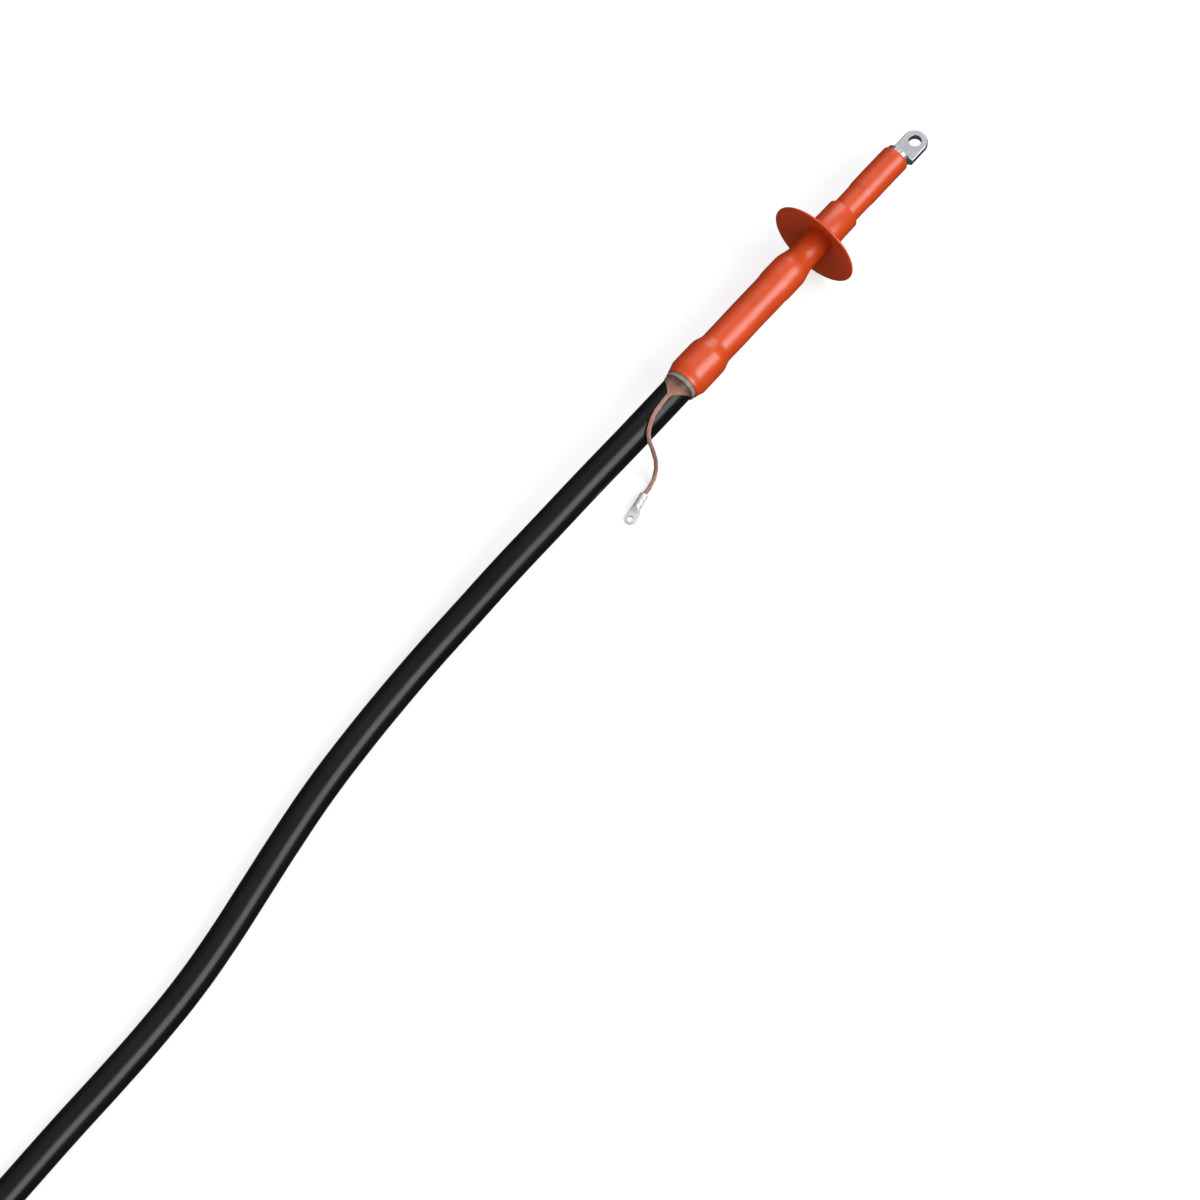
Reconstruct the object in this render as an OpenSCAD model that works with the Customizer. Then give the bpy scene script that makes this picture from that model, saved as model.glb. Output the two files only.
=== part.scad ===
// Single-core cable termination for medium voltage: a stripped cable end under a heat-shrunk red tube
// with one rain shed, a terminal lug on the conductor, and a screen tail with its own small lug.
// Millimetres. +X runs along the axis towards the lug and +Z is up. The origin is the centre of the
// lug's bolt hole, on the palm's contact face. A station is a distance along the axis from that hole
// towards the cable. The part lies as it comes to rest, on the shed's rim and on its own cable.

/* [Cable layers] */
// Diameter over the stranded conductor
conductor_d = 16.4; // [14:0.2:18]
// Strands in the conductor's outer layer
strand_count = 18; // [12:1:24]
// Wall of the conductive layer on the conductor
conductor_screen_t = 0.6; // [0.4:0.1:0.8]
// Wall of the insulation
insulation_t = 3.4; // [3:0.1:4]
// Wall of the conductive layer on the insulation
insulation_screen_t = 0.5; // [0.4:0.1:0.8]
// Wall of the swelling tape under the screen wires
tape_t = 0.2; // [0.1:0.05:0.4]
// Diameter of one screen wire
wire_d = 0.9; // [0.7:0.1:1.2]
// Number of screen wires
wire_count = 26; // [16:1:36]
// Wall of the outer jacket
jacket_t = 1.9; // [1.6:0.1:2.6]

/* [Terminal lug] */
// Diameter of the barrel, and width of the palm
barrel_d = 26; // [24:0.5:30]
// Length of the full barrel
barrel_len = 58.5; // [46:0.5:70]
// Depth of the conductor's bore in the barrel
bore_len = 44; // [30:1:45]
// Length of the sloping neck between barrel and palm
ramp_len = 6.5; // [5:0.5:26]
// Length of the palm from the bolt hole to the sloping neck
palm_len = 21; // [14:1:30]
// Thickness of the palm
palm_t = 8; // [5:0.5:10]
// How far the palm's contact face lies below the barrel
palm_drop = 2; // [0.3:0.1:3]
// Diameter of the bolt hole
hole_d = 13; // [8.5:0.5:17]

/* [Stripped lengths] */
// Bare conductor between the barrel and the insulation
bare_len = 26; // [12:1:40]
// Insulation from its end to the stress-control tube
clear_len = 88; // [80:1:120]
// Insulation under the stress-control tube
graded_len = 87; // [70:1:110]
// Insulation screen under the stress-control tube
screen_lap = 38; // [25:1:50]
// Insulation screen left bare before the jacket
screen_window = 17; // [12:1:30]
// Straight jacket between the gathered wires and the free cable
straight_len = 58.5; // [55:0.5:90]

/* [Heat-shrink tubes and mastic] */
// Wall of the red tube where it has shrunk on the insulation
tube_t = 2.3; // [1.6:0.1:3]
// Barrel left bare between the red tube and the lug's neck
barrel_bare = 4.5; // [0.5:0.5:6]
// How far the red tube laps over the jacket
jacket_lap = 33.5; // [26:0.5:50]
// Wall of the stress-control tube
stress_t = 3.5; // [2.5:0.1:4.5]
// Thickness of the stress-relief mastic at the edge of the insulation screen
stress_mastic_t = 1; // [0.9:0.05:1.3]
// Thickness of the filler mastic on the stress-control tube's upper end
filler_t = 1.05; // [0.6:0.05:1.6]
// Thickness of the sealing mastic on the folded wires
seal_t = 3.4; // [2.6:0.1:5]
// Length of the mastic squeezed out of the red tube's mouth
bead_len = 5; // [4:0.5:8]
// Width of the round bead at that mastic's end
bead_w = 2.5; // [2:0.5:4]

/* [Shed] */
// Diameter of the shed's rim
shed_d = 98.8; // [80:0.2:130]
// Thickness of the shed at its rim
rim_t = 2.6; // [2:0.1:4]
// Thickness of the shed at its collar
root_t = 4; // [3:0.1:6]
// How far the rim hangs below the shed's root
shed_drop = 11; // [6:0.5:18]
// Distance from the insulation's end to the shed's root
shed_place = 43; // [36:1:60]
// Length of the shed's collar
collar_len = 38; // [25:1:40]
// Wall of the shed's collar
collar_t = 3.3; // [2:0.1:5]

/* [Screen tail] */
// Length over which the wires draw together
gather_len = 28; // [18:0.5:40]
// Diameter of the twisted earth lead
lead_d = 4.8; // [4:0.2:6]
// Diameter of the binding wire round the folded screen wires
binding_d = 1.2; // [0.8:0.1:1.6]
// Turns of the binding wire
binding_turns = 3; // [2:1:5]
// Diameter of the earth lug's barrel
earth_barrel_d = 8.4; // [7:0.2:10]
// Length of the earth lug's barrel
earth_barrel_len = 17; // [12:0.5:24]
// Width of the earth lug's palm
earth_palm_w = 11.6; // [10:0.2:16]
// Thickness of the earth lug's palm
earth_palm_t = 2.4; // [1.6:0.2:4]
// Diameter of the earth lug's bolt hole
earth_hole_d = 6.4; // [5.3:0.1:8.4]

/* [Hidden] */
// Smoothness of round shapes
$fn = 96;
// Clearance between layers that lie on each other
fit = 0.05;
// Thickness of a mastic layer at its thin edge
edge_t = 0.2;
// How far a cut reaches past the face it opens
cut = 1;
// Room between a conductor's end and the bottom of its bore
bore_gap = 1;
// Thickness of the slices between which a lug's neck is drawn, and sides of the round one
slice = 0.1;
neck_sides = 32;

// Radii of the cable's layers, from the inside out
conductor_r = conductor_d / 2;
conductor_screen_r = conductor_r + conductor_screen_t;
insulation_r = conductor_screen_r + insulation_t;
insulation_screen_r = insulation_r + insulation_screen_t;
tape_r = insulation_screen_r + tape_t;
jacket_bore_r = tape_r + wire_d + 2 * fit;
jacket_r = jacket_bore_r + jacket_t;
wire_r = wire_d / 2;
folded_r = jacket_r + fit + wire_d;

// Radii of what the red tube lies on
barrel_r = barrel_d / 2;
stress_r = insulation_screen_r + fit + stress_t;
stress_mastic_r = insulation_r + stress_mastic_t;
filler_r = stress_r + filler_t;
seal_r = folded_r + seal_t;
// Mastic left between the folded wires and the red tube's mouth
mouth_gap = 0.5;
mouth_r = folded_r + mouth_gap;

// Stations along the axis
shoulder_at = palm_len + ramp_len;
tube_end_at = shoulder_at + barrel_bare;
barrel_mouth_at = shoulder_at + barrel_len;
insulation_end_at = barrel_mouth_at + bare_len;
root_at = insulation_end_at + shed_place;
stress_top_at = insulation_end_at + clear_len;
screen_edge_at = stress_top_at + graded_len;
stress_bottom_at = screen_edge_at + screen_lap;
jacket_end_at = stress_bottom_at + screen_window;
mouth_at = jacket_end_at + jacket_lap;
fan_at = mouth_at + bead_len;
gather_at = mouth_at + gather_len;
free_at = gather_at + straight_len;
binding_set = 12;
binding_at = jacket_end_at + binding_set;
binding_pitch = binding_d + fit;

// Reach of each mastic past the edge it covers, towards the lug and towards the cable
filler_up = 18;
filler_down = 35.5;
filler_from_at = stress_top_at - filler_up;
filler_to_at = stress_top_at + filler_down;
stress_mastic_up = 17;
stress_mastic_down = 15;
stress_mastic_from_at = screen_edge_at - stress_mastic_up;
stress_mastic_to_at = screen_edge_at + stress_mastic_down;
seal_overlap = 4;
seal_from_at = stress_bottom_at - seal_overlap;
// Lengths over which the mastics swell towards the cable and thin out again
lug_mastic_fall = 6;
filler_rise = 26;
filler_fall = 11;
seal_rise = 15.5;
seal_fall = 11.5;
stress_mastic_rise = 8;
stress_mastic_fall = 12;

// How far and over what length the stress-control tube's ends are feathered
feather = 0.6;
feather_len = 6;

// The contact face lies just below the barrel, and the shed's rim rests on the floor
axis_z = barrel_r + palm_drop;
floor_z = axis_z - shed_d / 2;
lying_z = floor_z + jacket_r;

// The free cable: distance past the straight jacket, sideways, and the share of the drop still to go
cable_route = [
    [0, 0, 1], [60, 1, 0.97], [120, 3, 0.8], [180, 6, 0.55], [240, 8, 0.28], [300, 9, 0.08],
    [360, 7, 0], [420, 2.5, 0], [480, -4, 0], [540, -13.5, 0], [600, -24.5, 0], [660, -35.5, 0],
    [720, -44, 0], [780, -48.5, 0], [840, -50.5, 0], [910, -51.5, 0], [980, -53.5, 0], [1080, -57, 0]
];

// The earth lead on the jacket: distance past the gather, and degrees from the top to the near side
lead_on_jacket = [
    [0, 12.5], [8, 13], [16, 16.4], [24, 20.5], [31, 27], [37, 36.3], [42, 47], [45.3, 62]
];
// The earth lead down to the floor: distance past the gather, sideways, and height over the floor
lead_to_floor = [[46.5, -22.5, 41], [47, -27, 23], [51.5, -30, 9.5], [62.5, -33, 3]];
// The earth lug's mouth, as distance past the gather and sideways, and its heading on the floor
earth_lug_place = [75.5, -35];
earth_lug_heading = 192;
lead_r = lead_d / 2;
// Room under the faceted fan and lead, so that their flats stay clear of the round jacket
lay_gap = 0.3;
lead_lay_r = jacket_r + lead_r + lay_gap;
// How sharply the fan narrows at first, and the steps in which it is drawn
fan_curve = 1.6;
fan_steps = 16;
// Shares at the fan's wide end: girth covered, room used below, roundness, and depth of the grooves
fan_cover = 0.955;
fan_seat = 0.8;
fan_round = 0.3;
fan_groove = 0.4;
// The earth lug: room round the lead in its bore, and the lengths of bore, neck and palm
earth_bore_room = 0.2;
earth_bore_r = lead_r + earth_bore_room;
earth_bore_len = 13;
earth_neck_len = 4;
earth_palm_len = 8;

red = [0.85, 0.25, 0.13];
black = [0.07, 0.07, 0.07];
copper = [0.72, 0.45, 0.34];
tin = [0.74, 0.75, 0.77];

// Radius of the red tube shrunk on a bed of radius r: its section area stays the same everywhere
function shrunk(r) = sqrt(r * r + pow(insulation_r + tube_t, 2) - pow(insulation_r, 2));

// Smooth run of [radius, station] points from one radius to another
function blend(at_0, r_0, at_1, r_1, steps = 8) = [
    for (i = [0:steps])
        [r_0 + (r_1 - r_0) * (1 - cos(180 * i / steps)) / 2, at_0 + (at_1 - at_0) * i / steps]
];

function reversed(list) = [for (i = [len(list) - 1:-1:0]) list[i]];
function unit(v) = v / norm(v);

// Outer contours of the mastics that shape the red tube
lug_mastic_top = blend(barrel_mouth_at, barrel_r, barrel_mouth_at + lug_mastic_fall, insulation_r);
filler_top = concat(
    blend(filler_from_at, insulation_r + edge_t, filler_from_at + filler_rise, filler_r),
    blend(filler_to_at - filler_fall, filler_r, filler_to_at, stress_r + edge_t)
);
seal_top = concat(
    blend(seal_from_at, stress_r + edge_t, seal_from_at + seal_rise, seal_r),
    blend(mouth_at - seal_fall, seal_r, mouth_at, mouth_r)
);
stress_mastic_top = concat(
    blend(
        stress_mastic_from_at, insulation_r + edge_t,
        stress_mastic_from_at + stress_mastic_rise, stress_mastic_r
    ),
    blend(
        stress_mastic_to_at - stress_mastic_fall, stress_mastic_r,
        stress_mastic_to_at, insulation_screen_r + edge_t
    )
);

// Stands a shape drawn round +Z with stations as heights onto the termination's axis
module on_axis() translate([0, 0, axis_z]) rotate([0, -90, 0]) children();

// Solid of revolution from [radius, station] points
module turned(points) on_axis() rotate_extrude() polygon(points);

// Straight layer of the cable between two radii and two stations
module layer(inner_r, outer_r, from, to) {
    turned([[inner_r, from], [outer_r, from], [outer_r, to], [inner_r, to]]);
}

// Closed skin over rings of points, each ring with the same count
module skin(rings) {
    count = len(rings[0]);
    last = len(rings) - 1;
    sides = [
        for (k = [0:last - 1], i = [0:count - 1])
            let (a = k * count + i, b = k * count + (i + 1) % count)
                each [[a, b, b + count], [a, b + count, a + count]]
    ];
    strip = [
        for (i = [0:count / 2 - 2])
            each [[i, i + 1, count - 1 - i], [i + 1, count - 2 - i, count - 1 - i]]
    ];
    caps = concat([for (f = strip) reversed(f)], [for (f = strip) [for (i = f) i + last * count]]);
    polyhedron(points = [for (ring = rings) each ring], faces = concat(sides, caps), convexity = 10);
}

// Tube of n sides along a route, with its end faces square to the two given directions
module swept(route, r, n, side, first, final) {
    last = len(route) - 1;
    skin([
        for (k = [0:last])
            let (
                heading = k == 0 ? first : k == last ? final : unit(route[k + 1] - route[k - 1]),
                a = unit(cross(heading, side)),
                b = cross(a, heading)
            )
                [for (i = [0:n - 1]) route[k] + r * (cos(360 * i / n) * b - sin(360 * i / n) * a)]
    ]);
}

// Forged lug: round barrel bored for the conductor, sloping neck and flat palm with a bolt hole
module terminal_lug() {
    color(tin) difference() {
        union() {
            on_axis() translate([0, 0, shoulder_at]) cylinder(r = barrel_r, h = barrel_len);
            hull() {
                on_axis() translate([0, 0, shoulder_at]) cylinder(r = barrel_r, h = slice, $fn = neck_sides);
                translate([-palm_len - slice, -barrel_r, 0]) cube([slice, barrel_d, palm_t]);
            }
            linear_extrude(palm_t) {
                circle(r = barrel_r);
                translate([-palm_len, -barrel_r]) square([palm_len, barrel_d]);
            }
        }
        on_axis() translate([0, 0, barrel_mouth_at - bore_len])
            cylinder(r = conductor_r + fit, h = bore_len + cut);
        translate([0, 0, -cut]) cylinder(d = hole_d, h = palm_t + 2 * cut);
    }
}

// Compacted conductor, with the outer strands standing out as lobes
module conductor() {
    lobe = sin(180 / strand_count);
    compaction = 1.08;
    strand_r = compaction * conductor_r * lobe / (1 + lobe);
    end_at = barrel_mouth_at - bore_len + bore_gap;
    color("silver") on_axis() translate([0, 0, end_at]) linear_extrude(free_at - end_at) {
        circle(r = conductor_r - strand_r);
        for (i = [0:strand_count - 1])
            rotate(360 * i / strand_count) translate([conductor_r - strand_r, 0]) circle(r = strand_r);
    }
}

// Extruded conductive layer on the conductor
module conductor_screen() {
    color(black) layer(conductor_r + fit, conductor_screen_r, insulation_end_at, free_at);
}

// Extruded insulation, with its cut end chamfered
module insulation() {
    chamfer = 1;
    color("ivory") turned([
        [conductor_screen_r + fit, insulation_end_at], [insulation_r - chamfer, insulation_end_at],
        [insulation_r, insulation_end_at + chamfer], [insulation_r, free_at],
        [conductor_screen_r + fit, free_at]
    ]);
}

// Conductive layer on the insulation, peeled back to its edge under the stress-control tube
module insulation_screen() {
    color(black) layer(insulation_r + fit, insulation_screen_r, screen_edge_at, free_at);
}

// Swelling tape wound under the screen wires
module swelling_tape() {
    color("dimgray") layer(insulation_screen_r + fit, tape_r, jacket_end_at, free_at);
}

// One screen wire: under the jacket, folded back over its end, and along the jacket to the mouth
module folded_wire() {
    under_r = tape_r + fit + wire_r;
    over_r = jacket_r + fit + wire_r;
    fold_r = (over_r - under_r) / 2;
    fold_at = jacket_end_at - fit;
    translate([under_r, 0, fold_at]) cylinder(r = wire_r, h = free_at - fold_at - fit);
    translate([over_r, 0, fold_at]) cylinder(r = wire_r, h = fan_at - fold_at - fit);
    reach = fold_r + wire_d;
    translate([under_r + fold_r, 0, fold_at]) difference() {
        rotate([90, 0, 0]) rotate_extrude() translate([fold_r, 0]) circle(r = wire_r);
        translate([-reach, -reach, 0]) cube(2 * reach);
    }
}

// Section of the wire fan at a share t of its length: a thin ribbed band that closes to the lead's round
function fan_ring(t) =
    let (
        around = fan_cover * PI * (jacket_r + wire_r),
        half_w = lead_r + (around - lead_r) * pow(1 - t, fan_curve),
        half_h = wire_r + (lead_r - wire_r) * t * t,
        base = lay_gap * (fan_seat + (1 - fan_seat) * t)
    )
        [for (i = [0:2 * wire_count - 1])
            let (
                turn = 180 * (i + 0.5) / wire_count,
                across = (1 - t) * (abs(turn - 180) / 90 - 1) + t * cos(turn),
                rise = sign(sin(turn)) * pow(abs(sin(turn)), fan_round + (1 - fan_round) * t),
                groove = i < wire_count && i % 2 == 0 ? fan_groove * (1 - t) : 0,
                r = jacket_r + base + half_h * (1 + rise * (1 - groove)),
                angle = lead_on_jacket[0][1] + half_w * across / r * 180 / PI
            )
                [-fan_at - (gather_at - fan_at) * t, -r * sin(angle), axis_z + r * cos(angle)]
        ];

// Copper screen: all wires folded back, then drawn together on the jacket into the earth lead
module screen_wires() {
    color(copper) {
        on_axis() for (i = [0:wire_count - 1]) rotate(360 * i / wire_count) folded_wire();
        skin([
            for (k = [0:fan_steps])
                reversed(fan_ring(1 - pow(1 - k / fan_steps, 1 / fan_curve)))
        ]);
    }
}

// Binding wire wound tight round the folded screen wires
module binding_wire() {
    color(tin) on_axis() for (i = [0:binding_turns - 1])
        translate([0, 0, binding_at + binding_pitch * i])
            rotate_extrude() translate([folded_r + fit + binding_d / 2, 0]) circle(d = binding_d);
}

// Outer jacket of the stripped cable end
module cable_jacket() {
    color(black) layer(jacket_bore_r, jacket_r, jacket_end_at, free_at);
}

// Soft mastic that fills the step at the edge of the insulation screen
module stress_mastic() {
    color("khaki") turned(concat(stress_mastic_top, [
        [insulation_screen_r + fit, stress_mastic_to_at], [insulation_screen_r + fit, screen_edge_at - fit],
        [insulation_r + fit, screen_edge_at - fit], [insulation_r + fit, stress_mastic_from_at]
    ]));
}

// Black stress-control tube shrunk over the mastic, with both ends feathered
module stress_control_tube() {
    bore = concat(
        [[insulation_r, stress_top_at], [insulation_r, stress_mastic_from_at]],
        stress_mastic_top,
        [[insulation_screen_r, stress_mastic_to_at], [insulation_screen_r, stress_bottom_at]]
    );
    color(black) turned(concat(
        [for (p = bore) [p[0] + fit, p[1]]],
        [
            [stress_r - feather, stress_bottom_at], [stress_r, stress_bottom_at - feather_len],
            [stress_r, stress_top_at + feather_len], [stress_r - feather, stress_top_at]
        ]
    ));
}

// Filler mastic that rounds off the stress-control tube's upper end
module filler_mastic() {
    color("firebrick") turned(concat(filler_top, [
        [stress_r + fit, filler_to_at], [stress_r + fit, stress_top_at + feather_len],
        [stress_r - feather + fit, stress_top_at - fit], [insulation_r + fit, stress_top_at - fit],
        [insulation_r + fit, filler_from_at]
    ]));
}

// Mastic round the bare conductor between the barrel and the insulation
module lug_mastic() {
    color("firebrick") turned(concat(
        [[conductor_r + fit, barrel_mouth_at + fit]],
        [for (p = lug_mastic_top) [p[0], p[1] + fit]],
        [[insulation_r, insulation_end_at - fit], [conductor_r + fit, insulation_end_at - fit]]
    ));
}

// Grey sealing mastic on the folded wires, squeezed out as a bead at the red tube's mouth
module sealing_mastic() {
    fold_reach = (jacket_r - tape_r) / 2 + wire_d + 2 * fit;
    groove_r = folded_r + binding_d + 2 * fit;
    groove_from = binding_at - binding_d / 2 - fit;
    groove_to = binding_at + binding_pitch * (binding_turns - 1) + binding_d / 2 + fit;
    bead_h = 0.8;
    bead_base = folded_r + fit + edge_t;
    bead_at = mouth_at + bead_len - bead_w / 2 - fit;
    color([0.5, 0.47, 0.45]) turned(concat(
        seal_top,
        [for (a = [180:-20:0]) [bead_base + bead_h * sin(a), bead_at + bead_w / 2 * cos(a)]],
        [
            [folded_r + fit, bead_at + bead_w / 2], [folded_r + fit, groove_to],
            [groove_r, groove_to], [groove_r, groove_from],
            [folded_r + fit, groove_from], [folded_r + fit, jacket_end_at - fold_reach],
            [insulation_screen_r + fit, jacket_end_at - fold_reach],
            [insulation_screen_r + fit, stress_bottom_at + fit],
            [stress_r - feather + fit, stress_bottom_at + fit],
            [stress_r - feather * (1 - seal_overlap / feather_len) + fit, seal_from_at]
        ]
    ));
}

// Red track-resistant tube, shrunk on everything from the lug to the jacket
module outer_tube() {
    bed = concat(
        [[barrel_r, tube_end_at]], lug_mastic_top,
        [[insulation_r, filler_from_at]], filler_top, [[stress_r, filler_to_at]],
        [[stress_r, seal_from_at]], seal_top
    );
    skin_line = concat(
        [[barrel_r, tube_end_at]], lug_mastic_top,
        [[insulation_r, root_at]], filler_top, seal_top
    );
    color(red) turned(concat(
        [for (p = bed) [p[0] + fit, p[1]]],
        reversed([for (p = skin_line) [shrunk(p[0]), p[1]]])
    ));
}

// Red shed: a collar shrunk on the tube and a skirt that slopes towards the cable
module rain_shed() {
    bore_r = shrunk(insulation_r) + fit;
    collar_r = bore_r + collar_t;
    rim_r = rim_t / 2;
    rim_centre = [shed_d / 2 - rim_r, root_at + shed_drop - rim_r];
    fillet = 2.5;
    collar_taper = 0.4;
    collar_edge = 1.2;
    color(red) turned(concat(
        [[bore_r, root_at]],
        [for (a = [90:-30:-90]) rim_centre + rim_r * [cos(a), sin(a)]],
        [
            [collar_r + fillet, root_at - root_t + fillet * shed_drop / (shed_d / 2 - collar_r)],
            [collar_r + fillet / 3, root_at - root_t - fillet / 3],
            [collar_r, root_at - root_t - fillet],
            [collar_r - collar_taper, root_at - collar_len + collar_edge],
            [collar_r - collar_edge, root_at - collar_len],
            [bore_r, root_at - collar_len]
        ]
    ));
}

// Free length of the cable, down from the termination to the floor and along it
module free_cable() {
    route = [for (p = cable_route) [-free_at - p[0], p[1], lying_z + (axis_z - lying_z) * p[2]]];
    last = len(route) - 1;
    color(black) swept(route, jacket_r, 12, [0, 0, 1], [-1, 0, 0], unit(route[last] - route[last - 1]));
}

// Twisted screen wires as one lead, from the gather down to the floor and into the earth lug
earth_dir = [cos(earth_lug_heading), sin(earth_lug_heading), 0];
earth_mouth = [-gather_at - earth_lug_place[0], earth_lug_place[1], floor_z + earth_barrel_d / 2];
module earth_lead() {
    route = concat(
        [for (p = lead_on_jacket)
            [-gather_at - p[0], -lead_lay_r * sin(p[1]), axis_z + lead_lay_r * cos(p[1])]],
        [for (p = lead_to_floor) [-gather_at - p[0], p[1], floor_z + p[2]]],
        [earth_mouth, earth_mouth + (earth_bore_len - bore_gap) * earth_dir]
    );
    color(copper) swept(route, lead_r, 10, [0, 1, 0], [-1, 0, 0], earth_dir);
}

// Small lug crimped on the earth lead, flat on the floor
module earth_lug() {
    palm_at = earth_barrel_len + earth_neck_len;
    hole_at = palm_at + earth_palm_len;
    barrel_z = earth_barrel_d / 2;
    half_w = earth_palm_w / 2;
    color(tin) translate([earth_mouth[0], earth_mouth[1], floor_z]) rotate(earth_lug_heading) difference() {
        union() {
            translate([0, 0, barrel_z]) rotate([0, 90, 0]) cylinder(d = earth_barrel_d, h = earth_barrel_len);
            hull() {
                translate([earth_barrel_len - slice, 0, barrel_z]) rotate([0, 90, 0])
                    cylinder(d = earth_barrel_d, h = slice, $fn = neck_sides);
                translate([palm_at, -half_w, 0]) cube([slice, earth_palm_w, earth_palm_t]);
            }
            linear_extrude(earth_palm_t) {
                translate([hole_at, 0]) circle(r = half_w);
                translate([palm_at, -half_w]) square([earth_palm_len, earth_palm_w]);
            }
        }
        translate([-cut, 0, barrel_z]) rotate([0, 90, 0])
            cylinder(r = earth_bore_r, h = earth_bore_len + cut);
        translate([hole_at, 0, -cut]) cylinder(d = earth_hole_d, h = earth_palm_t + 2 * cut);
    }
}

terminal_lug();
conductor();
conductor_screen();
insulation();
insulation_screen();
swelling_tape();
screen_wires();
binding_wire();
cable_jacket();
stress_mastic();
stress_control_tube();
filler_mastic();
lug_mastic();
sealing_mastic();
outer_tube();
rain_shed();
free_cable();
earth_lead();
earth_lug();
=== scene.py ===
import math

import bmesh
import bpy
from mathutils import Matrix, Vector, noise


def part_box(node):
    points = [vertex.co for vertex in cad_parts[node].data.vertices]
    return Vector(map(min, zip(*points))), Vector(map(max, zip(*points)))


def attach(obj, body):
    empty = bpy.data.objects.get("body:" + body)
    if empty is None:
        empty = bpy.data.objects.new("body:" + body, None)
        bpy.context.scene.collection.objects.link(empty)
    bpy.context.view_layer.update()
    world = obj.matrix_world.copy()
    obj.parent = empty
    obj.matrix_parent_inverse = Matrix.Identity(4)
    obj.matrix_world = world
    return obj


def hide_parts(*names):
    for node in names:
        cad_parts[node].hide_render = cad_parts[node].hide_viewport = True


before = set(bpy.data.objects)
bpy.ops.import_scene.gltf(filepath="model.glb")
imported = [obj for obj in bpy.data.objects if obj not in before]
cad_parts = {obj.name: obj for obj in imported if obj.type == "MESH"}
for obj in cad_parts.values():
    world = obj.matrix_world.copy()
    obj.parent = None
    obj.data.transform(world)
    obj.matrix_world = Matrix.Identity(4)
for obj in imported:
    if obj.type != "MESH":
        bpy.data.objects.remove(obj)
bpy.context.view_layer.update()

# The camera looks down on the lying termination along its length, with the lug at the upper right
# and the cable running out of the lower left corner. A long lens keeps the tubes nearly parallel.
mm = 0.001
camera_place = Vector((-3524.1, -2479.6, 6941.9)) * mm
camera_elevation = math.radians(61.5)
camera_heading = math.radians(39.4)
lens_length = 240
sensor_width = 36
camera_data = bpy.data.cameras.new("camera")
camera_data.lens = lens_length
camera_data.sensor_width = sensor_width
camera_data.clip_end = 60
camera = bpy.data.objects.new("camera", camera_data)
camera.location = camera_place
camera.rotation_euler = (math.pi / 2 - camera_elevation, 0, camera_heading - math.pi / 2)
bpy.context.collection.objects.link(camera)
bpy.context.scene.camera = camera

# The free cable: black polyethylene jacket, extruded over the cable's layers. It leaves the straight
# prepared end level, sinks to the floor and lies along it to a square saw cut outside the view.
axis_z = (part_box("outer_tube")[0][2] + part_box("outer_tube")[1][2]) / 2
floor_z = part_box("rain_shed")[0][2]
jacket_r = (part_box("cable_jacket")[1][1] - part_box("cable_jacket")[0][1]) / 2
free_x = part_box("cable_jacket")[0][0]
lying_z = floor_z + jacket_r
cable_steps = [
    (-2, 0, 1), (60, 1, 0.97), (120, 3, 0.8), (180, 6, 0.55), (240, 8, 0.28), (300, 9, 0.08),
    (360, 7, 0), (420, 2.5, 0), (480, -4, 0), (540, -13.5, 0), (600, -24.5, 0), (660, -35.5, 0),
    (720, -44, 0), (780, -48.5, 0), (840, -50.5, 0), (910, -51.5, 0), (980, -53.5, 0), (1080, -57, 0),
]
cable_route = [
    Vector((free_x - past * mm, side * mm, lying_z + (axis_z - lying_z) * share))
    for past, side, share in cable_steps
]


def curve_through(name, route, radius, sides, steps):
    """A tube on one smooth spline through the route's points."""
    data = bpy.data.curves.new(name, "CURVE")
    data.dimensions = "3D"
    data.resolution_u = steps
    data.bevel_depth = radius
    data.bevel_resolution = sides // 2 - 2
    data.use_fill_caps = True
    spline = data.splines.new("BEZIER")
    spline.bezier_points.add(len(route) - 1)
    for knot, place in zip(spline.bezier_points, route):
        knot.co = place
        knot.handle_left_type = "AUTO"
        knot.handle_right_type = "AUTO"
    piece = bpy.data.objects.new(name, data)
    bpy.context.collection.objects.link(piece)
    return piece


def noise_on_object(nodes, links, scale, detail, stretch):
    """A noise that is fixed to the piece, stretched along its axes."""
    coordinates = nodes.new("ShaderNodeTexCoord")
    mapping = nodes.new("ShaderNodeMapping")
    mapping.inputs["Scale"].default_value = stretch
    pattern = nodes.new("ShaderNodeTexNoise")
    pattern.inputs["Scale"].default_value = scale
    pattern.inputs["Detail"].default_value = detail
    links.new(coordinates.outputs["Object"], mapping.inputs["Vector"])
    links.new(mapping.outputs["Vector"], pattern.inputs["Vector"])
    return pattern


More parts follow.
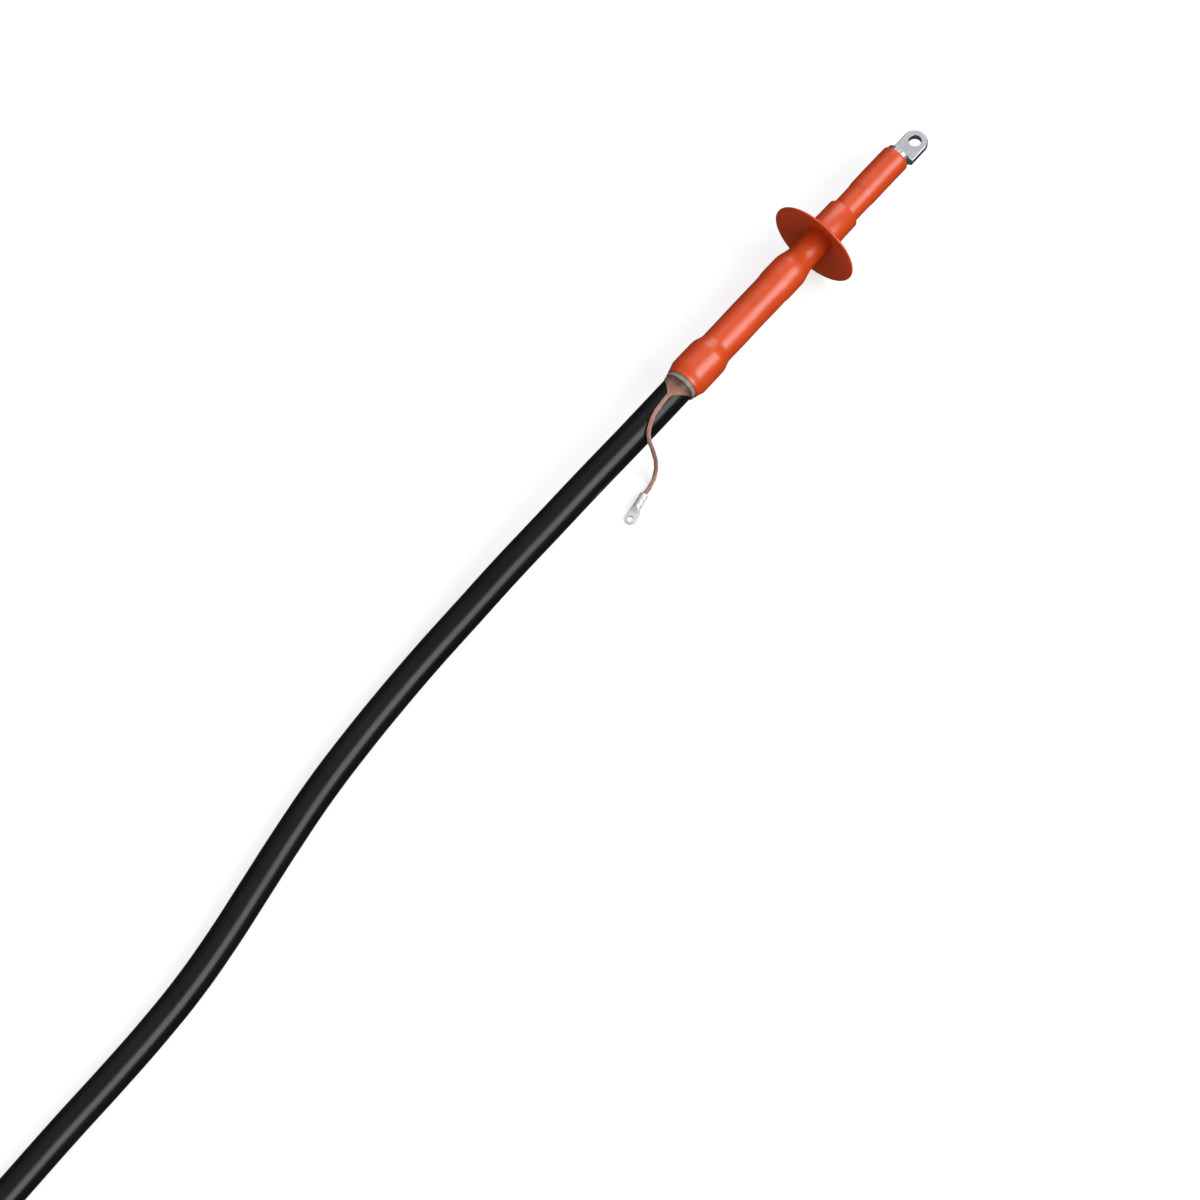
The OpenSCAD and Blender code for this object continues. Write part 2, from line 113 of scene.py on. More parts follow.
def surface(name, dark, light, rough, mottle, grain=900, depth=0.04 * mm, stretch=(1, 1, 1), metal=0.0):
    """A finish whose colour and gloss drift between two values, with a fine grain in its relief."""
    material = bpy.data.materials.new(name)
    material.use_nodes = True
    nodes = material.node_tree.nodes
    links = material.node_tree.links
    shader = nodes["Principled BSDF"]
    shader.inputs["Metallic"].default_value = metal
    drift = noise_on_object(nodes, links, scale=mottle, detail=3, stretch=stretch)
    colours = nodes.new("ShaderNodeValToRGB")
    colours.color_ramp.elements[0].position = 0.3
    colours.color_ramp.elements[1].position = 0.7
    colours.color_ramp.elements[0].color = (*dark, 1)
    colours.color_ramp.elements[1].color = (*light, 1)
    links.new(drift.outputs["Fac"], colours.inputs["Fac"])
    links.new(colours.outputs["Color"], shader.inputs["Base Color"])
    gloss = nodes.new("ShaderNodeMapRange")
    gloss.inputs["To Min"].default_value = rough[0]
    gloss.inputs["To Max"].default_value = rough[1]
    links.new(drift.outputs["Fac"], gloss.inputs["Value"])
    links.new(gloss.outputs["Result"], shader.inputs["Roughness"])
    fine = noise_on_object(nodes, links, scale=grain, detail=2, stretch=stretch)
    relief = nodes.new("ShaderNodeBump")
    relief.inputs["Strength"].default_value = 0.5
    relief.inputs["Distance"].default_value = depth
    links.new(fine.outputs["Fac"], relief.inputs["Height"])
    links.new(relief.outputs["Normal"], shader.inputs["Normal"])
    return material


def polish(material, specular):
    """Sets how strongly the bare face of a finish mirrors."""
    material.node_tree.nodes["Principled BSDF"].inputs["Specular IOR Level"].default_value = specular


jacket_black = surface(
    "jacket_black", dark=(0.003, 0.003, 0.003), light=(0.006, 0.006, 0.006), rough=(0.23, 0.33),
    mottle=60, grain=700, stretch=(0.15, 1, 1),
)
polish(jacket_black, specular=0.27)
free_cable = curve_through("free_cable_jacket", cable_route, jacket_r, sides=64, steps=16)
free_cable.data.materials.append(jacket_black)

# The saw cut at the cable's far end: the jacket's ring stays, and inside it show the screen wires,
# the black conductive layers, the pale insulation and the strands of the aluminium conductor.
cut_place = cable_route[-1]
cut_out = (cable_route[-1] - cable_route[-2]).normalized()
cut_stand = Matrix.Translation(cut_place) @ cut_out.to_track_quat("Z", "Y").to_matrix().to_4x4()


def radius_of(node):
    """The radius of a node that is turned round the termination's axis."""
    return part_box(node)[1][2] - axis_z


fit = 0.05 * mm
wire_r = 0.45 * mm
wire_count = 26
wire_ring_r = radius_of("swelling_tape") + fit + wire_r
wire_rise = 0.5 * mm
strand_rings = [(0, 1), (1, 6), (2, 12), (3, 18)]
strands_across = 7
strand_r = radius_of("conductor") / strands_across
strand_rise = 0.8 * mm
insulation_r = radius_of("insulation")
insulation_pale = surface(
    "insulation_pale", dark=(0.62, 0.58, 0.5), light=(0.72, 0.68, 0.6), rough=(0.35, 0.5), mottle=90
)
aluminium_bare = surface(
    "aluminium_bare", dark=(0.6, 0.6, 0.61), light=(0.75, 0.75, 0.76), rough=(0.3, 0.45),
    mottle=300, grain=2500, metal=1.0,
)
copper_bright = surface(
    "copper_bright", dark=(0.36, 0.19, 0.15), light=(0.52, 0.3, 0.245), rough=(0.4, 0.55),
    mottle=220, grain=1800, metal=0.15,
)
cut_layers = {
    "screen": (radius_of("insulation_screen") + fit, 0.3 * mm, jacket_black),
    "insulation": (insulation_r, 0.5 * mm, insulation_pale),
    "core_screen": (radius_of("conductor_screen"), 0.6 * mm, jacket_black),
}
cut_slots = ("conductive_black", "insulation", "conductive_black", "conductor_metal", "copper")
merge_within = 1e-6


def piece_from(name, shape, material, smooth_under=40):
    """Ends a bmesh as a finished piece with soft shading and sharp edges."""
    bmesh.ops.remove_doubles(shape, verts=shape.verts, dist=merge_within)
    bmesh.ops.recalc_face_normals(shape, faces=shape.faces)
    mesh = bpy.data.meshes.new(name)
    shape.to_mesh(mesh)
    shape.free()
    mesh.shade_smooth()
    mesh.set_sharp_from_angle(angle=math.radians(smooth_under))
    mesh.materials.append(material)
    piece = bpy.data.objects.new(name, mesh)
    bpy.context.collection.objects.link(piece)
    return piece


def cut_disc(shape, radius, rise, segments, reach=0, turn=0):
    """A short round stub that stands out of the cut by its rise, at a reach and turn from its middle."""
    stub = cut_stand @ Matrix.Translation((reach * math.cos(turn), reach * math.sin(turn), 0))
    bmesh.ops.create_cone(
        shape, cap_ends=True, segments=segments, radius1=radius, radius2=radius, depth=2 * rise, matrix=stub
    )


cut_pieces = []
for layer, (radius, rise, material) in cut_layers.items():
    disc = bmesh.new()
    cut_disc(disc, radius, rise, segments=48)
    cut_pieces.append(piece_from("cut_" + layer, disc, material))
strands = bmesh.new()
for ring, count in strand_rings:
    for place in range(count):
        turn = 2 * math.pi * place / count
        cut_disc(strands, strand_r, strand_rise, segments=12, reach=2 * strand_r * ring, turn=turn)
cut_pieces.append(piece_from("cut_conductor", strands, aluminium_bare))
wires = bmesh.new()
for place in range(wire_count):
    turn = 2 * math.pi * place / wire_count
    cut_disc(wires, wire_r, wire_rise, segments=10, reach=wire_ring_r, turn=turn)
cut_pieces.append(piece_from("cut_wires", wires, copper_bright))
for piece, slot in zip(cut_pieces, cut_slots):
    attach(piece, "root")
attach(free_cable, "root")
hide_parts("free_cable")

# The earth lead: the cable's copper screen wires, twisted together by hand into one tail. It lies on
# the jacket, drops over its near side to the floor, and ends in the bore of a small crimped lug.
gather_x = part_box("earth_lead")[1][0]
lead_r = 2.4 * mm
lead_gap = 0.3 * mm
lead_lay_r = jacket_r + lead_r + lead_gap
lead_lay = 55 * mm
lead_in_lug = 12 * mm
sunflower_turn = math.radians(137.5)
lead_on_jacket = [(0, 12.5), (8, 13), (16, 16.4), (24, 20.5), (31, 27), (37, 36.3), (42, 47), (45.3, 62)]
lead_to_floor = [(46.5, -22.5, 41), (47, -27, 23), (51.5, -30, 9.5), (62.5, -33, 3)]
earth_lug_place = (75.5, -35)
earth_lug_heading = math.radians(192)
earth_barrel_r = 4.2 * mm
lug_way = Vector((math.cos(earth_lug_heading), math.sin(earth_lug_heading), 0))
lug_mouth = Vector((gather_x - earth_lug_place[0] * mm, earth_lug_place[1] * mm, floor_z + earth_barrel_r))


def on_jacket(x, radius, degrees):
    """A point round the cable's axis, counted in degrees from the top towards the near side."""
    turn = math.radians(degrees)
    return Vector((x, -radius * math.sin(turn), axis_z + radius * math.cos(turn)))


lead_route = [on_jacket(gather_x - past * mm, lead_lay_r, turn) for past, turn in lead_on_jacket]
lead_route += [
    Vector((gather_x - past * mm, side * mm, floor_z + up * mm)) for past, side, up in lead_to_floor
]
lead_route += [lug_mouth, lug_mouth + lug_way * lead_in_lug]


def points_along(route, steps):
    """The points of one smooth spline through the route."""
    guide = curve_through("guide", route, radius=0, sides=8, steps=steps)
    line = bpy.data.meshes.new_from_object(guide.evaluated_get(bpy.context.evaluated_depsgraph_get()))
    points = [corner.co.copy() for corner in line.vertices]
    bpy.data.objects.remove(guide)
    bpy.data.meshes.remove(line)
    return points


def bundle(name, paths, radius, sides):
    """Several round wires as one mesh, each along its own path."""
    data = bpy.data.curves.new(name, "CURVE")
    data.dimensions = "3D"
    data.bevel_depth = radius
    data.bevel_resolution = sides // 2 - 2
    data.use_fill_caps = True
    for path in paths:
        spline = data.splines.new("POLY")
        spline.points.add(len(path) - 1)
        for knot, place in zip(spline.points, path):
            knot.co = (*place, 1)
    guide = bpy.data.objects.new(name + "_guide", data)
    bpy.context.collection.objects.link(guide)
    mesh = bpy.data.meshes.new_from_object(guide.evaluated_get(bpy.context.evaluated_depsgraph_get()))
    bpy.data.objects.remove(guide)
    mesh.name = name
    mesh.materials.clear()
    mesh.shade_smooth()
    piece = bpy.data.objects.new(name, mesh)
    bpy.context.collection.objects.link(piece)
    return piece


def wire_seat(place):
    """Where a wire sits in the round bundle, as (outwards, sideways) from its middle."""
    reach = (lead_r - wire_r) * math.sqrt((place + 0.5) / wire_count)
    turn = place * sunflower_turn
    return reach * math.cos(turn), reach * math.sin(turn)


wire_seats = sorted((wire_seat(place) for place in range(wire_count)), key=lambda seat: seat[1])
lead_line = points_along(lead_route, steps=10)
lead_twist = 2 * math.pi / lead_lay
lead_paths = [[] for seat in wire_seats]
heading = Vector((-1, 0, 0))
outwards = (lead_line[0] - Vector((gather_x, 0, axis_z))).normalized()
run = 0
for here, place in enumerate(lead_line):
    ahead = lead_line[min(here + 1, len(lead_line) - 1)] - lead_line[max(here - 1, 0)]
    turned_heading = ahead.normalized() if here else heading
    outwards = heading.rotation_difference(turned_heading) @ outwards
    heading = turned_heading
    if here:
        run += (place - lead_line[here - 1]).length
    sideways = outwards.cross(heading)
    turn = Matrix.Rotation(run * lead_twist, 3, heading)
    for path, (out, side) in zip(lead_paths, wire_seats):
        path.append(place + turn @ (outwards * out + sideways * side))
earth_lead = bundle("earth_lead_wires", lead_paths, wire_r, sides=6)
earth_lead.data.materials.append(copper_bright)

# The earth lug: a short tinned tube, pressed flat at one end and punched for a bolt, crimped on the
# lead with a hand tool that leaves two dents across the barrel.
tin_bright = surface(
    "tin_bright", dark=(0.8, 0.81, 0.82), light=(0.88, 0.89, 0.9), rough=(0.42, 0.56),
    mottle=160, grain=1500, metal=0.55,
)


def cut_across(shape, place, way):
    """Cuts new edges into a shape where a plane crosses it."""
    everything = shape.verts[:] + shape.edges[:] + shape.faces[:]
    bmesh.ops.bisect_plane(shape, geom=everything, dist=merge_within, plane_co=place, plane_no=way)


def dressed_lug(node, name, material, hole, hole_r, palm_root, edge, shaping=None):
    """A copy of a lug, shaped further, with its palm's edges rounded and the drilled hole's broken."""
    shape = bmesh.new()
    shape.from_mesh(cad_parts[node].data)
    flat_within = math.radians(0.5)
    sharp_over = math.radians(60)
    hole_zone = 1.2 * hole_r
    hole_edge = edge / 3
    bmesh.ops.remove_doubles(shape, verts=shape.verts, dist=merge_within)
    bmesh.ops.dissolve_limit(shape, angle_limit=flat_within, verts=shape.verts, edges=shape.edges)
    if shaping:
        shaping(shape)
    way = (hole - palm_root).normalized()
    cut_across(shape, palm_root, way)
    palm_rims = []
    hole_rims = []
    for rim in shape.edges:
        middle = (rim.verts[0].co + rim.verts[1].co) / 2
        if rim.calc_face_angle(0) > sharp_over and (middle - palm_root).dot(way) > 0:
            at_hole = (middle.xy - hole.xy).length < hole_zone
            (hole_rims if at_hole else palm_rims).append(rim)
    for rims, offset in ((palm_rims, edge), (hole_rims, hole_edge)):
        bmesh.ops.bevel(
            shape, geom=rims, offset=offset, segments=3, profile=0.5, affect="EDGES", material=-1,
            clamp_overlap=False,
        )
    piece = piece_from(name, shape, material, smooth_under=35)
    shading = piece.modifiers.new("even_shading", "WEIGHTED_NORMAL")
    shading.keep_sharp = True
    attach(piece, "root")
    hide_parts(node)
    return piece


crimp_places = (5.2 * mm, 11.6 * mm)
crimp_reach = 1.7 * mm
crimp_depth = 1.1 * mm
crimp_wrap = 1.5
crimp_squareness = 4
crimp_slice = 0.5 * mm
crimp_slices = 32
earth_bore_r = 3.5 * mm
earth_barrel_len = 17 * mm


def crimp(shape):
    """Presses the two dents of the crimping tool into the top of the barrel."""
    for cut in range(1, crimp_slices + 1):
        cut_across(shape, lug_mouth + lug_way * cut * crimp_slice, lug_way)
    for corner in shape.verts:
        along = (corner.co - lug_mouth).dot(lug_way)
        out = corner.co - lug_mouth - lug_way * along
        if out.length < earth_bore_r or along > earth_barrel_len:
            continue
        upright = max(0, out.normalized().z) ** crimp_wrap
        press = sum(
            math.exp(-(((along - place) / crimp_reach) ** crimp_squareness)) for place in crimp_places
        )
        corner.co.z -= crimp_depth * upright * press


earth_palm_at = 22 * mm
earth_hole_at = 29 * mm
earth_hole_r = 3.2 * mm
earth_edge = 0.35 * mm
earth_palm_root = lug_mouth + lug_way * earth_palm_at
earth_hole = lug_mouth + lug_way * earth_hole_at
earth_lug = dressed_lug(
    "earth_lug", "earth_lug_crimped", tin_bright, earth_hole, earth_hole_r, earth_palm_root, earth_edge, crimp
)
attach(earth_lead, "root")
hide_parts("earth_lead")

# The screen wires: plain copper wires laid under the jacket, folded back over its end, then drawn
# together on the jacket into the tail. Past the mastic they show as a fan on the black jacket.
jacket_end = -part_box("cable_jacket")[1][0]
mouth = -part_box("outer_tube")[0][0]
bead_len = 5 * mm
fan_start = mouth + bead_len
over_r = jacket_r + fit + wire_r
fold_r = (over_r - wire_ring_r) / 2
gather_turn = lead_on_jacket[0][1]
lay_cover = 344
fan_curve = 1.6
fan_sides = (-118, 82)
fan_points = 14
fold_points = 8
lap_points = 6
fan_paths = []
for place, (out, side) in enumerate(wire_seats):
    row = (place + 0.5) / wire_count
    spread = lay_cover * (row - 0.5)
    fan_spread = fan_sides[0] + (fan_sides[1] - fan_sides[0]) * row
    path = [on_jacket(free_x, wire_ring_r, gather_turn + spread)]
    for step in range(fold_points + 1):
        turn = math.pi * step / fold_points
        radius = wire_ring_r + fold_r - fold_r * math.cos(turn)
        path.append(on_jacket(-jacket_end + fold_r * math.sin(turn), radius, gather_turn + spread))
    for step in range(1, lap_points):
        share = step / lap_points
        turn = gather_turn + spread + (fan_spread - spread) * share
        path.append(on_jacket(-jacket_end - (fan_start - jacket_end) * share, over_r, turn))
    end_r = lead_lay_r + out
    end_turn = math.degrees(side / end_r)
    for step in range(fan_points + 1):
        share = step / fan_points
        radius = over_r + (end_r - over_r) * share**2
        turn = gather_turn + fan_spread * (1 - share) ** fan_curve + end_turn * share
        path.append(on_jacket(-fan_start + (gather_x + fan_start) * share, radius, turn))
    fan_paths.append(path)
screen_wires = bundle("screen_wire_fan", fan_paths, wire_r, sides=6)
# Painted shade: the fan's copper colour is multiplied down towards the tube's mouth and rises to full at the
# gather, so the wires look shaded where they leave the mouth.
painted_shade_least = 0.36
copper_painted_shade = surface(
    "copper_painted_shade", dark=(0.36, 0.17, 0.1), light=(0.58, 0.3, 0.19), rough=(0.4, 0.55),
    mottle=220, grain=1800, metal=0.15,
)
painted_shade_nodes = copper_painted_shade.node_tree.nodes
painted_shade_links = copper_painted_shade.node_tree.links
wire_place = painted_shade_nodes.new("ShaderNodeTexCoord")
wire_station = painted_shade_nodes.new("ShaderNodeSeparateXYZ")
painted_shade_links.new(wire_place.outputs["Object"], wire_station.inputs["Vector"])
painted_shade_ramp = painted_shade_nodes.new("ShaderNodeMapRange")
painted_shade_ramp.inputs["From Min"].default_value = -fan_start
painted_shade_ramp.inputs["From Max"].default_value = gather_x
painted_shade_ramp.inputs["To Min"].default_value = painted_shade_least
painted_shade_links.new(wire_station.outputs["X"], painted_shade_ramp.inputs["Value"])
painted_shade_mix = painted_shade_nodes.new("ShaderNodeMix")
painted_shade_mix.data_type = "RGBA"
painted_shade_mix.blend_type = "MULTIPLY"
painted_shade_mix.inputs["Factor"].default_value = 1
painted_shade_links.new(painted_shade_nodes["Color Ramp"].outputs["Color"], painted_shade_mix.inputs["A"])
painted_shade_links.new(painted_shade_ramp.outputs["Result"], painted_shade_mix.inputs["B"])
painted_shade_links.new(painted_shade_mix.outputs["Result"], painted_shade_nodes["Principled BSDF"].inputs["Base Color"])
screen_wires.data.materials.append(copper_painted_shade)
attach(screen_wires, "root")
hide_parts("screen_wires")

# The jacket of the prepared cable end, cut square under the mastic. It is the same extrusion as the
# free cable and carries straight on into it.
jacket_bore_r = 13.9 * mm
seam_gap = 0.01 * mm
broad_ripple = 38
fine_ripple = 110
fine_share = 0.4


def turned(name, outline, material, segments=128, smooth_under=40, ripple=0):
    """A piece turned round the axis from (radius, distance from the bolt hole) points, slightly uneven."""
    shape = bmesh.new()
    corners = [shape.verts.new((-station, 0, axis_z + radius)) for radius, station in outline]
    edges = [shape.edges.new((a, b)) for a, b in zip(corners, corners[1:] + corners[:1])]
    bmesh.ops.spin(
        shape, geom=corners + edges, cent=(0, 0, axis_z), axis=(1, 0, 0), angle=2 * math.pi,
        steps=segments, use_merge=True,
    )
    for corner in shape.verts:
        middle = Vector((corner.co.x, 0, axis_z))
        swell = noise.noise(corner.co * broad_ripple) + fine_share * noise.noise(corner.co * fine_ripple)
        corner.co += (corner.co - middle).normalized() * ripple * swell
    piece = piece_from(name, shape, material, smooth_under)
    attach(piece, "root")
    return piece


straight_jacket = turned(
    "straight_jacket",
    [
        (jacket_bore_r, jacket_end), (jacket_r + seam_gap, jacket_end),
        (jacket_r + seam_gap, -free_x), (jacket_bore_r, -free_x),
    ],
    jacket_black,
)
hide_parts("cable_jacket")

# The red outer tube: track-resistant heat-shrink sleeve, shrunk with a flame over the lug's barrel,
# the insulation, the stress-control tube and the jacket, so that its skin follows every step below.
barrel_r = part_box("lug_mastic")[1][1]
stress_r = radius_of("stress_control_tube")
filler_r = radius_of("filler_mastic")
seal_r = radius_of("sealing_mastic")
mouth_r = 17.25 * mm
edge_t = 0.2 * mm
tube_wall = 2.3 * mm
tube_end = -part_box("outer_tube")[1][0]
barrel_mouth = -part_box("terminal_lug")[0][0]
barrel_fall = 6 * mm
filler_from = -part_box("filler_mastic")[1][0]
filler_to = -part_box("filler_mastic")[0][0]
filler_rise = 26 * mm
filler_fall = 11 * mm
seal_from = -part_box("sealing_mastic")[1][0]
seal_rise = 15.5 * mm
seal_fall = 11.5 * mm
shed_drop = 11 * mm
shed_root = -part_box("rain_shed")[0][0] - shed_drop


def blend(from_station, from_r, to_station, to_r, steps=16):
    """A smooth run of (radius, station) points from one radius to another."""
    run = []
    for step in range(steps + 1):
        share = step / steps
        eased = (1 - math.cos(math.pi * share)) / 2
        run.append((from_r + (to_r - from_r) * eased, from_station + (to_station - from_station) * share))
    return run


def shrunk(radius):
    """The tube's outer radius on a bed: its section area stays the same everywhere."""
    return math.sqrt(radius**2 + (insulation_r + tube_wall) ** 2 - insulation_r**2)


bed = [(barrel_r, tube_end)]
bed += blend(barrel_mouth, barrel_r, barrel_mouth + barrel_fall, insulation_r)
bed.append((insulation_r, shed_root))
bed += blend(filler_from, insulation_r + edge_t, filler_from + filler_rise, filler_r)
bed += blend(filler_to - filler_fall, filler_r, filler_to, stress_r + edge_t)
seal_bed = blend(seal_from, stress_r + edge_t, seal_from + seal_rise, seal_r)
seal_bed += blend(mouth - seal_fall, seal_r, mouth, mouth_r)
bed += seal_bed
lip_drop = 1.2 * mm
lip_len = 2.6 * mm
lip_steps = 8
mouth_drop = 0.25 * mm
tube_skin = []
for step in range(lip_steps + 1):
    turn = math.pi / 2 * step / lip_steps
    tube_skin.append((
        shrunk(barrel_r) - lip_drop * (1 - math.sin(turn)), tube_end + lip_len * (1 - math.cos(turn))
    ))
tube_skin += [(shrunk(radius), station) for radius, station in bed[1:-1]]
tube_skin.append((shrunk(mouth_r) - mouth_drop, mouth))
tube_bore = [(radius + fit, station) for radius, station in reversed(bed)]


def finely(outline, step):
    """The outline with points put in wherever two of them lie clearly further apart than the step."""
    slack = 0.01
    fine = [outline[0]]
    for (from_r, from_station), (to_r, to_station) in zip(outline, outline[1:]):
        parts = max(1, math.ceil(abs(to_station - from_station) / step - slack))
        for part in range(1, parts + 1):
            share = part / parts
            station = from_station + (to_station - from_station) * share
            fine.append((from_r + (to_r - from_r) * share, station))
    return fine


skin_step = 3 * mm
tube_ripple = 0.28 * mm
tube_red = surface(
    "tube_red", dark=(0.58, 0.054, 0.004), light=(0.66, 0.066, 0.006), rough=(0.31, 0.38),
    mottle=25, grain=500, depth=0.03 * mm,
)
polish(tube_red, specular=0.7)
outer_tube = turned("red_tube", finely(tube_skin, skin_step) + tube_bore, tube_red, ripple=tube_ripple)
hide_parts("outer_tube")

# The rain shed: one red moulding of the same rubber-like material, a thin skirt on a collar that is
# shrunk on the tube. The skirt slopes towards the cable and keeps a stretch of the tube dry.
shed_r = (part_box("rain_shed")[1][1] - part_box("rain_shed")[0][1]) / 2
rim_r = 1.3 * mm
rim_steps = 12
root_t = 4 * mm
collar_wall = 3.3 * mm
collar_end = -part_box("rain_shed")[1][0]
collar_taper = 0.4 * mm
collar_edge = 1.2 * mm
collar_bore = shrunk(insulation_r) + fit
collar_r = collar_bore + collar_wall
rim_middle = (shed_r - rim_r, shed_root + shed_drop - rim_r)
fillet = 2.5 * mm
fillet_steps = 8
shed_outline = [(collar_bore, shed_root)]
for step in range(rim_steps + 1):
    turn = math.pi / 2 - math.pi * step / rim_steps
    shed_outline.append((rim_middle[0] + rim_r * math.cos(turn), rim_middle[1] + rim_r * math.sin(turn)))
skirt_slope = shed_drop / (shed_r - collar_r)
for step in range(fillet_steps + 1):
    share = step / fillet_steps
    turn = math.pi / 2 * share
    shed_outline.append((
        collar_r + fillet - fillet * math.sin(turn),
        shed_root - root_t - fillet + fillet * math.cos(turn) + skirt_slope * fillet * (1 - share),
    ))
shed_outline += [
    (collar_r - collar_taper, collar_end + collar_edge),
    (collar_r - collar_edge, collar_end),
    (collar_bore, collar_end),
]
rain_shed = turned("shed_moulding", shed_outline, tube_red, segments=160, smooth_under=50)
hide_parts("rain_shed")

# The sealing mastic: grey, soft when heated, squeezed out of the tube's mouth as a narrow bead that
# closes the gap round the screen wires.
folded_r = jacket_r + fit + 2 * wire_r
bead_w = 2.5 * mm
bead_h = 0.8 * mm
bead_steps = 16
bead_ripple = 0.12 * mm
bead_lap = 12 * mm
mastic_foot = 329 * mm
bead_base = folded_r + fit + edge_t
bead_middle = mouth + bead_len - bead_w / 2
bead_outline = [(radius - fit, station) for radius, station in seal_bed]
for step in range(bead_steps + 1):
    turn = math.pi * (1 - step / bead_steps)
    bead_outline.append((bead_base + bead_h * math.sin(turn), bead_middle + bead_w / 2 * math.cos(turn)))
bead_outline += [
    (jacket_r + fit, mouth + bead_len), (jacket_r + fit, mouth - bead_lap), (stress_r, mastic_foot),
]
mastic_grey = surface(
    "mastic_grey", dark=(0.2, 0.175, 0.165), light=(0.32, 0.29, 0.275), rough=(0.4, 0.55),
    mottle=140, grain=700, depth=0.15 * mm,
)
sealing_bead = turned("sealing_bead", bead_outline, mastic_grey, ripple=bead_ripple)
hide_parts("sealing_mastic")

# The terminal lug: forged aluminium with a round barrel pressed on the conductor, a sloping neck and
# a flat palm with a bolt hole. The forging is tumbled, so its edges are soft and its face is satin.
bolt_hole = Vector((0, 0, 0))
bolt_hole_r = 6.5 * mm
palm_root = Vector((-19.5 * mm, 0, 0))
palm_edge = 1.5 * mm
lug_satin = surface(
    "lug_satin", dark=(0.52, 0.535, 0.57), light=(0.61, 0.625, 0.66), rough=(0.28, 0.38),
    mottle=70, grain=1400, depth=0.03 * mm, metal=1.0,
)
terminal_lug = dressed_lug(
    "terminal_lug", "terminal_lug_forged", lug_satin, bolt_hole, bolt_hole_r, palm_root, palm_edge
)

# The layers that the finished termination hides: conductor, conductive layers, insulation, swelling
# tape, stress-control tube, mastics and binding wire. They keep their solids and get their finishes.
conductive_black = surface(
    "conductive_black", dark=(0.01, 0.01, 0.01), light=(0.02, 0.02, 0.02), rough=(0.6, 0.75),
    mottle=80, grain=600,
)
mastic_red = surface(
    "mastic_red", dark=(0.3, 0.03, 0.02), light=(0.36, 0.05, 0.03), rough=(0.5, 0.65),
    mottle=120, grain=500, depth=0.1 * mm,
)
mastic_ochre = surface(
    "mastic_ochre", dark=(0.45, 0.35, 0.1), light=(0.52, 0.42, 0.15), rough=(0.5, 0.65),
    mottle=120, grain=500, depth=0.1 * mm,
)
tape_grey = surface(
    "tape_grey", dark=(0.1, 0.1, 0.1), light=(0.16, 0.16, 0.16), rough=(0.75, 0.9), mottle=200, grain=1500
)
hidden_finishes = {
    "conductor": aluminium_bare,
    "conductor_screen": conductive_black,
    "insulation": insulation_pale,
    "insulation_screen": conductive_black,
    "swelling_tape": tape_grey,
    "binding_wire": tin_bright,
    "stress_mastic": mastic_ochre,
    "stress_control_tube": conductive_black,
    "filler_mastic": mastic_red,
    "lug_mastic": mastic_red,
}
for node, material in hidden_finishes.items():
    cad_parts[node].data.materials.clear()
    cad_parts[node].data.materials.append(material)

# The floor and the light: a plain white floor that glows a little and throws no light back, a large soft
# box on the near right for the long highlights, a weak one from the cable's side for the shed's hollow,
# and a dome that is dark at its foot and bright above, with one bright card.
floor_half = 12
floor_gap = 0.2 * mm
floor_glow = 0.62
floor_shape = bmesh.new()
bmesh.ops.create_grid(
    floor_shape, x_segments=1, y_segments=1, size=floor_half,
    matrix=Matrix.Translation((-0.5, 0, floor_z - floor_gap)),
)
floor_white = surface(
    "floor_white", dark=(0.46, 0.46, 0.46), light=(0.48, 0.48, 0.48), rough=(0.8, 0.9), mottle=3, grain=40
)
floor_white.node_tree.nodes["Principled BSDF"].inputs["Emission Color"].default_value = (1, 1, 1, 1)
floor_white.node_tree.nodes["Principled BSDF"].inputs["Emission Strength"].default_value = floor_glow
floor = piece_from("floor", floor_shape, floor_white)
floor.visible_glossy = False
floor.visible_diffuse = False


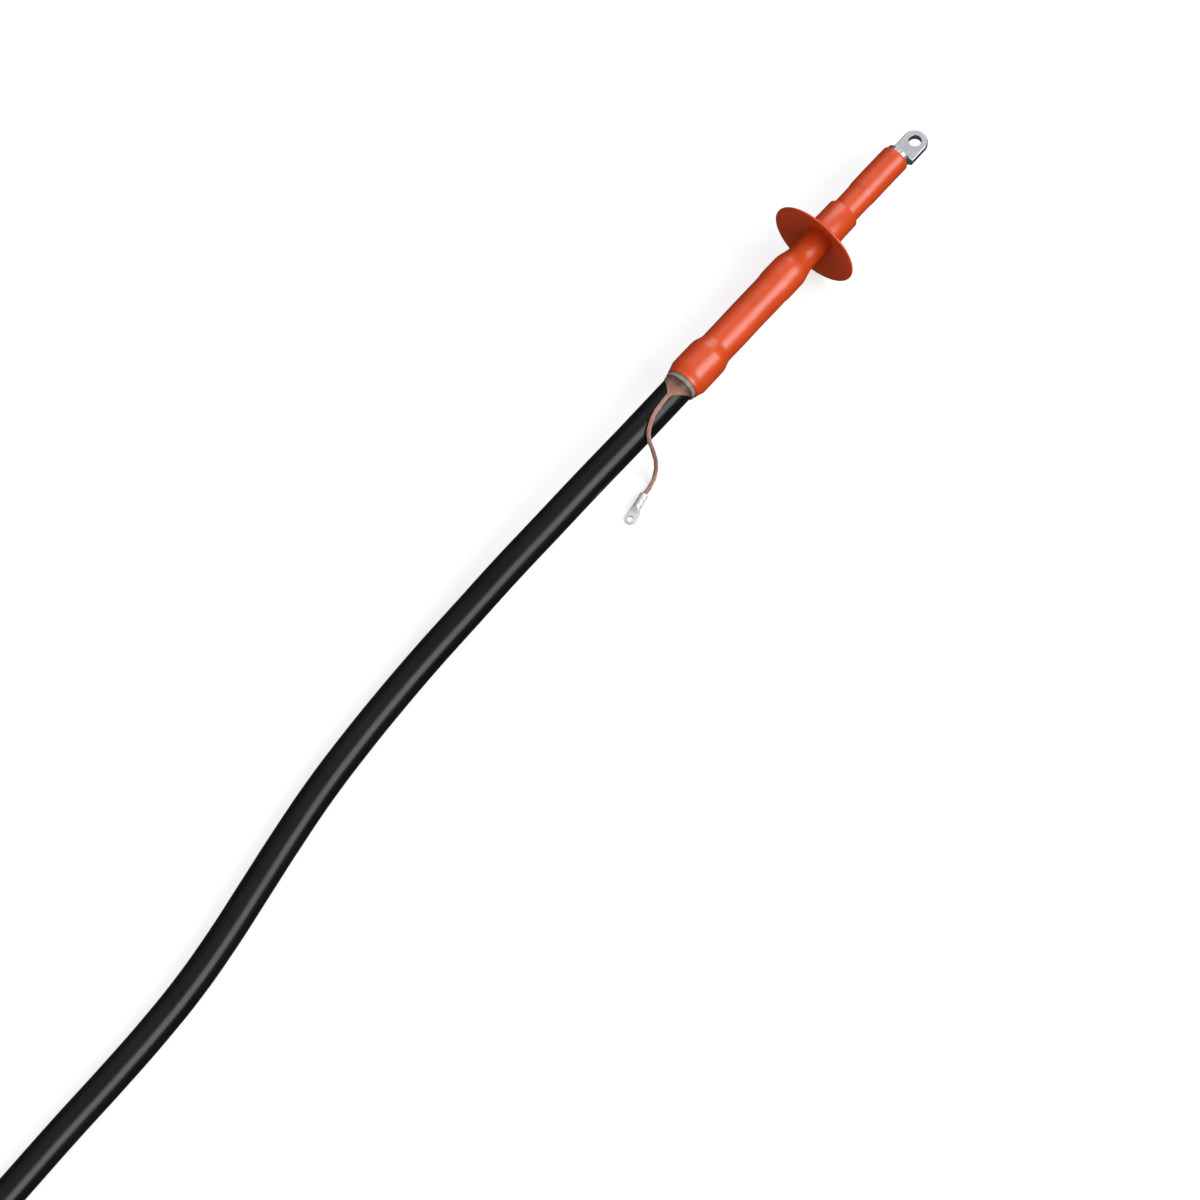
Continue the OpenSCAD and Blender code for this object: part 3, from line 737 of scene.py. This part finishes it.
def soft_light(name, place, aim, size, power, mirrored):
    """A square soft box that looks at a point of the object, and shows in gloss or not."""
    data = bpy.data.lights.new(name, "AREA")
    data.size = size
    data.energy = power
    light = bpy.data.objects.new(name, data)
    light.location = place
    light.rotation_euler = (Vector(aim) - Vector(place)).to_track_quat("-Z", "Y").to_euler()
    light.visible_camera = False
    light.visible_glossy = mirrored
    bpy.context.collection.objects.link(light)


soft_light("key", place=(0.7, -3.58, 3.14), aim=(-0.5, 0, 0), size=3.5, power=225, mirrored=True)
soft_light("fill", place=(-3.3, -0.6, 1.2), aim=(-0.2, 0, 0), size=2.5, power=38, mirrored=False)
world = bpy.data.worlds.new("studio")
world.use_nodes = True
dome_nodes = world.node_tree.nodes
dome_links = world.node_tree.links
dome_way = dome_nodes.new("ShaderNodeTexCoord")


def dome_shade(direction, steps):
    """Brightness of the dome by the height of a ray over the plane square to a direction."""
    height = dome_nodes.new("ShaderNodeVectorMath")
    height.operation = "DOT_PRODUCT"
    height.inputs[1].default_value = Vector(direction).normalized()
    dome_links.new(dome_way.outputs["Generated"], height.inputs[0])
    place = dome_nodes.new("ShaderNodeMapRange")
    place.inputs["From Min"].default_value = -1
    dome_links.new(height.outputs["Value"], place.inputs["Value"])
    ramp = dome_nodes.new("ShaderNodeValToRGB")
    elements = ramp.color_ramp.elements
    while len(elements) < len(steps):
        elements.new(0.5)
    for element, (level, grey) in zip(elements, steps):
        element.position = (level + 1) / 2
        element.color = (grey, grey, grey, 1)
    dome_links.new(place.outputs["Result"], ramp.inputs["Fac"])
    return ramp


sky_by_height = [(-1, 0.06), (-0.1, 0.06), (0.3, 0.12), (0.6, 0.38), (1, 0.46)]
card_way = (0.78, 0.3, 0.55)
card_by_height = [(-1, 0), (0.91, 0), (0.97, 2.6)]
sky = dome_shade((0, 0, 1), sky_by_height)
card = dome_shade(card_way, card_by_height)
both = dome_nodes.new("ShaderNodeMix")
both.data_type = "RGBA"
both.blend_type = "ADD"
both.inputs["Factor"].default_value = 1
dome_links.new(sky.outputs["Color"], both.inputs["A"])
dome_links.new(card.outputs["Color"], both.inputs["B"])
dome_links.new(both.outputs["Result"], dome_nodes["Background"].inputs["Color"])
bpy.context.scene.world = world
bpy.context.scene.view_settings.view_transform = "Standard"
